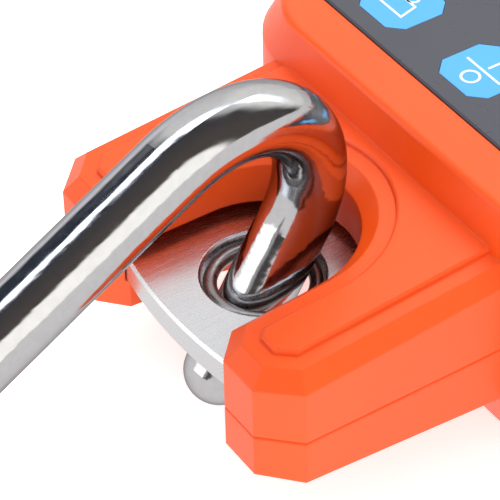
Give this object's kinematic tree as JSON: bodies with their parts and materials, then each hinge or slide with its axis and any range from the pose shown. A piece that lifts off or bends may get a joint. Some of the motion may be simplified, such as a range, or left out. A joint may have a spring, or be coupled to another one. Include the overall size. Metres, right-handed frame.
{
  "type": "digital hanging scale",
  "caption": "Small digital hanging scale: orange two-shell case, aluminium load-cell plate with an eye at each end, bent-bar load hook, closed hanging ring, face panel with display and keys.",
  "frame": {"origin": "centre of the flat back face of the case", "axes": "+Z out of the display side, +Y towards the hanging ring, -Y towards the load hook; the scale lies on its back"},
  "size_m": [0.074, 0.3191, 0.0536],
  "materials": {
    "case_plastic": "satin moulded orange, fine spark texture",
    "panel_plastic": "dark grey printed face sheet, satin",
    "window_plastic": "smoked clear window",
    "key_plastic": "light blue, satin",
    "switch_plastic": "black",
    "aluminium": "milled, fine machining lines",
    "gauge_film": "amber film",
    "wire_cover": "red cover",
    "ring_steel": "dark turned steel",
    "polished_steel": "mirror-polished stainless bar",
    "board": "green solder mask",
    "chip_plastic": "black",
    "lcd": "grey-green display glass",
    "light_guide": "milky light guide",
    "cell_sleeve": "dark printed sleeve",
    "spring_steel": "nickel-plated",
    "screw_steel": "zinc-plated"
  },
  "bodies": {
    "scale_body": {"front_case": "case_plastic", "rear_case": "case_plastic", "face_panel": "panel_plastic", "display_window": "window_plastic", "key_switches": "switch_plastic", "load_cell_plate": "aluminium", "strain_gauges": "gauge_film", "gauge_wires": "wire_cover", "lower_eye_ring": "ring_steel", "upper_eye_ring": "ring_steel", "main_board": "board", "chips": "chip_plastic", "buzzer": "chip_plastic", "display_frame": "switch_plastic", "lcd_glass": "lcd", "backlight": "light_guide", "contact_strips": "chip_plastic", "batteries": "cell_sleeve", "contact_plates": "spring_steel", "contact_springs": "spring_steel", "case_screws": "screw_steel", "plate_screws": "screw_steel", "board_screws": "screw_steel"},
    "unit_key": {"key_unit": "key_plastic", "plunger_unit": "switch_plastic"},
    "power_key": {"key_power": "key_plastic", "plunger_power": "switch_plastic"},
    "hold_key": {"key_hold": "key_plastic", "plunger_hold": "switch_plastic"},
    "hook_body": {"load_hook": "polished_steel"},
    "ring_body": {"hanging_ring": "polished_steel"},
    "cover_body": {"battery_cover": "case_plastic"}
  },
  "joints": [
    {"name": "hook_swing", "type": "hinge", "parent": "scale_body", "child": "hook_body", "pos_m": [-0.0002, -0.05795, 0.017], "axis": [0.9823, 0.1469, -0.1159], "range_deg": [0, 57]},
    {"name": "ring_swing", "type": "hinge", "parent": "scale_body", "child": "ring_body", "pos_m": [0, 0.0708, 0.017], "axis": [1, 0, 0], "range_deg": [-60, 60]},
    {"name": "unit_key_press", "type": "slide", "parent": "scale_body", "child": "unit_key", "axis": [0, 0, -1], "range_m": [0, 0.00035], "stiffness_N_per_m": 700},
    {"name": "power_key_press", "type": "slide", "parent": "scale_body", "child": "power_key", "axis": [0, 0, -1], "range_m": [0, 0.00035], "stiffness_N_per_m": 700},
    {"name": "hold_key_press", "type": "slide", "parent": "scale_body", "child": "hold_key", "axis": [0, 0, -1], "range_m": [0, 0.00035], "stiffness_N_per_m": 700},
    {"name": "cover_slide", "type": "slide", "parent": "scale_body", "child": "cover_body", "axis": [0, 1, 0], "range_m": [0, 0.02]}
  ]
}
